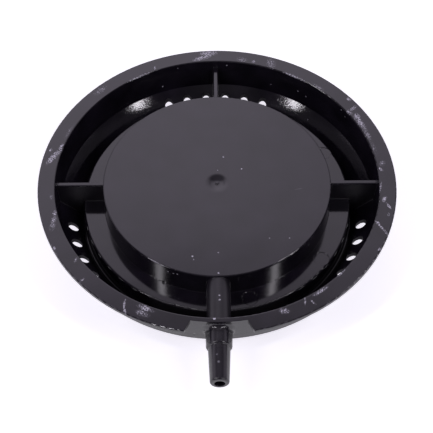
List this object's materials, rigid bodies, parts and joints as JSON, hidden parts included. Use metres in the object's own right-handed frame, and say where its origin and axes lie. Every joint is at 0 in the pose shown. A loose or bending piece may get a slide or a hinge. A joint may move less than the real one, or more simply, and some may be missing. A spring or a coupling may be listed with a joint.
{
  "type": "fine bubble disc diffuser",
  "caption": "Round air diffuser: black moulded housing lying underside up, with a flange, ribbed trough, vent holes, radial hose nozzle and a porous stone disc on its hidden side.",
  "frame": {"origin": "centre of the bubbling face, on the plane that the rim and the stone rest on", "axes": "+Z along the disc's axis, from the resting face to the flange face; -Y along the hose nozzle; +X to the right when looking along +Y"},
  "size_m": [0.107, 0.1191, 0.0188],
  "materials": {
    "black_plastic": "moulded, semi-gloss, scuffed on the flange",
    "bonded_stone": "bonded mineral grains, matte and porous",
    "sealant": "cured sealant, soft sheen"
  },
  "bodies": {
    "root": {"housing": "black_plastic", "porous_stone": "bonded_stone", "sealant_bead": "sealant"}
  },
  "joints": []
}
